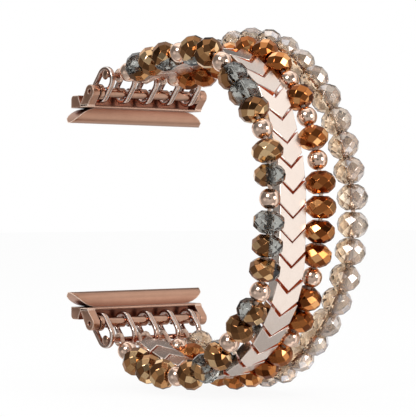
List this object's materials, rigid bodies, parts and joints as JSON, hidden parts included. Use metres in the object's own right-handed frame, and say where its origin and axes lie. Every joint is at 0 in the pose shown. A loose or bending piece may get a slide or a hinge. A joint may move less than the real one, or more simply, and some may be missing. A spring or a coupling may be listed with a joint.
{
  "type": "beaded bracelet band for a smartwatch",
  "caption": "Elastic beaded bracelet band: faceted glass bead strands, a chevron link strand and ringed slide-in adapters.",
  "frame": {"origin": "middle of the upper adapter's rail", "axes": "+X across the band away from the crown side, +Z from the lower adapter to the upper one, +Y away from the wrist"},
  "size_m": [0.0338, 0.0592, 0.0718],
  "materials": {
    "satin_rose_gold": "satin rose gold plating on steel",
    "polished_rose_gold": "polished rose gold plating",
    "pale_rose_gold": "polished pale rose gold plating",
    "spring_steel": "plain stainless spring steel",
    "bronze_smoky_glass": "faceted smoky glass with a bronze mirror coat on one side",
    "copper_glass": "faceted glass with an all-over copper mirror coat",
    "champagne_glass": "faceted clear glass with a champagne tint",
    "clear_elastic": "clear round elastic cord"
  },
  "bodies": {
    "upper_adapter": {"top_adapter": "satin_rose_gold"},
    "upper_ring_set": {"top_spring_bar_tube": "spring_steel", "top_bar_spring": "spring_steel", "top_link_rings": "polished_rose_gold", "top_spacer_sleeves": "polished_rose_gold", "top_washers": "polished_rose_gold", "top_strand_rod": "polished_rose_gold"},
    "upper_plunger_left": {"top_plunger_left": "spring_steel"},
    "upper_plunger_right": {"top_plunger_right": "spring_steel"},
    "band_1": {"mixed_beads_1": "bronze_smoky_glass", "gold_balls_1": "polished_rose_gold", "chevron_links_1": "pale_rose_gold", "copper_beads_1": "copper_glass", "crystal_beads_1": "champagne_glass"},
    "band_2": {"mixed_beads_2": "bronze_smoky_glass", "gold_balls_2": "polished_rose_gold", "chevron_links_2": "pale_rose_gold", "copper_beads_2": "copper_glass", "crystal_beads_2": "champagne_glass"},
    "band_3": {"mixed_beads_3": "bronze_smoky_glass", "gold_balls_3": "polished_rose_gold", "chevron_links_3": "pale_rose_gold", "copper_beads_3": "copper_glass", "crystal_beads_3": "champagne_glass"},
    "band_4": {"mixed_beads_4": "bronze_smoky_glass", "gold_balls_4": "polished_rose_gold", "chevron_links_4": "pale_rose_gold", "copper_beads_4": "copper_glass", "crystal_beads_4": "champagne_glass", "mixed_cord": "clear_elastic", "chevron_cord_left": "clear_elastic", "chevron_cord_right": "clear_elastic", "copper_cord": "clear_elastic", "crystal_cord": "clear_elastic"},
    "band_5": {"mixed_beads_5": "bronze_smoky_glass", "gold_balls_5": "polished_rose_gold", "chevron_links_5": "pale_rose_gold", "copper_beads_5": "copper_glass", "crystal_beads_5": "champagne_glass"},
    "band_6": {"mixed_beads_6": "bronze_smoky_glass", "gold_balls_6": "polished_rose_gold", "chevron_links_6": "pale_rose_gold", "copper_beads_6": "copper_glass", "crystal_beads_6": "champagne_glass"},
    "band_7": {"mixed_beads_7": "bronze_smoky_glass", "gold_balls_7": "polished_rose_gold", "chevron_links_7": "pale_rose_gold", "copper_beads_7": "copper_glass", "crystal_beads_7": "champagne_glass"},
    "lower_ring_set": {"bottom_spring_bar_tube": "spring_steel", "bottom_bar_spring": "spring_steel", "bottom_link_rings": "polished_rose_gold", "bottom_spacer_sleeves": "polished_rose_gold", "bottom_washers": "polished_rose_gold", "bottom_strand_rod": "polished_rose_gold"},
    "lower_plunger_left": {"bottom_plunger_left": "spring_steel"},
    "lower_plunger_right": {"bottom_plunger_right": "spring_steel"},
    "lower_adapter": {"bottom_adapter": "satin_rose_gold"}
  },
  "joints": [
    {"name": "upper_bar_swing", "type": "hinge", "parent": "upper_adapter", "child": "upper_ring_set", "pos_m": [0, -0.0041, 0.00465], "axis": [-1, 0, 0], "range_deg": [-35, 18], "deforming": ["mixed_cord", "chevron_cord_left", "chevron_cord_right", "copper_cord", "crystal_cord"]},
    {"name": "upper_plunger_left_press", "type": "slide", "parent": "upper_ring_set", "child": "upper_plunger_left", "axis": [1, 0, 0], "range_m": [0, 0.0015], "stiffness_N_per_m": 400, "springref_m": -0.002, "deforming": ["top_bar_spring"]},
    {"name": "upper_plunger_right_press", "type": "slide", "parent": "upper_ring_set", "child": "upper_plunger_right", "axis": [-1, 0, 0], "range_m": [0, 0.0015], "stiffness_N_per_m": 400, "springref_m": -0.002, "deforming": ["top_bar_spring"]},
    {"name": "upper_strand_swing", "type": "hinge", "parent": "upper_ring_set", "child": "band_1", "pos_m": [0, -0.00571, 0.00804], "axis": [-1, 0, 0], "range_deg": [-10, 30], "deforming": ["mixed_cord", "chevron_cord_left", "chevron_cord_right", "copper_cord", "crystal_cord"]},
    {"name": "band_flex_1", "type": "hinge", "parent": "band_1", "child": "band_2", "pos_m": [0, -0.02364, 0.0157], "axis": [-1, 0, 0], "range_deg": [0, 25.22], "deforming": ["mixed_cord", "chevron_cord_left", "chevron_cord_right", "copper_cord", "crystal_cord"]},
    {"name": "band_flex_2", "type": "hinge", "parent": "band_2", "child": "band_3", "pos_m": [0, -0.04249, 0.00827], "axis": [-1, 0, 0], "range_deg": [0, 42.92], "deforming": ["mixed_cord", "chevron_cord_left", "chevron_cord_right", "copper_cord", "crystal_cord"]},
    {"name": "band_open", "type": "hinge", "parent": "band_3", "child": "band_4", "pos_m": [0, -0.05334, -0.00889], "axis": [-1, 0, 0], "range_deg": [0, 30], "deforming": ["mixed_cord", "chevron_cord_left", "chevron_cord_right", "copper_cord", "crystal_cord"]},
    {"name": "band_flex_4", "type": "hinge", "parent": "band_4", "child": "band_5", "pos_m": [0, -0.05395, -0.02935], "axis": [-1, 0, 0], "range_deg": [0, 30.05], "deforming": ["mixed_cord", "chevron_cord_left", "chevron_cord_right", "copper_cord", "crystal_cord"]},
    {"name": "band_flex_5", "type": "hinge", "parent": "band_5", "child": "band_6", "pos_m": [0, -0.04255, -0.04639], "axis": [-1, 0, 0], "range_deg": [0, 38.72], "deforming": ["mixed_cord", "chevron_cord_left", "chevron_cord_right", "copper_cord", "crystal_cord"]},
    {"name": "band_flex_6", "type": "hinge", "parent": "band_6", "child": "band_7", "pos_m": [0, -0.02403, -0.05249], "axis": [-1, 0, 0], "range_deg": [0, 35.45], "deforming": ["mixed_cord", "chevron_cord_left", "chevron_cord_right", "copper_cord", "crystal_cord"]},
    {"name": "lower_strand_swing", "type": "hinge", "parent": "band_7", "child": "lower_ring_set", "pos_m": [0, -0.00571, -0.04514], "axis": [-1, 0, 0], "range_deg": [-10, 30], "deforming": ["mixed_cord", "chevron_cord_left", "chevron_cord_right", "copper_cord", "crystal_cord"]},
    {"name": "lower_plunger_left_press", "type": "slide", "parent": "lower_ring_set", "child": "lower_plunger_left", "axis": [1, 0, 0], "range_m": [0, 0.0015], "stiffness_N_per_m": 400, "springref_m": -0.002, "deforming": ["bottom_bar_spring"]},
    {"name": "lower_plunger_right_press", "type": "slide", "parent": "lower_ring_set", "child": "lower_plunger_right", "axis": [-1, 0, 0], "range_m": [0, 0.0015], "stiffness_N_per_m": 400, "springref_m": -0.002, "deforming": ["bottom_bar_spring"]},
    {"name": "lower_bar_swing", "type": "hinge", "parent": "lower_ring_set", "child": "lower_adapter", "pos_m": [0, -0.0041, -0.04175], "axis": [-1, 0, 0], "range_deg": [-35, 18]}
  ],
  "couplings": [
    {"joint": "band_flex_1", "follows": "band_open", "ratio": 0.839},
    {"joint": "band_flex_2", "follows": "band_open", "ratio": 1.429},
    {"joint": "band_flex_4", "follows": "band_open", "ratio": 1},
    {"joint": "band_flex_5", "follows": "band_open", "ratio": 1.289},
    {"joint": "band_flex_6", "follows": "band_open", "ratio": 1.18}
  ]
}
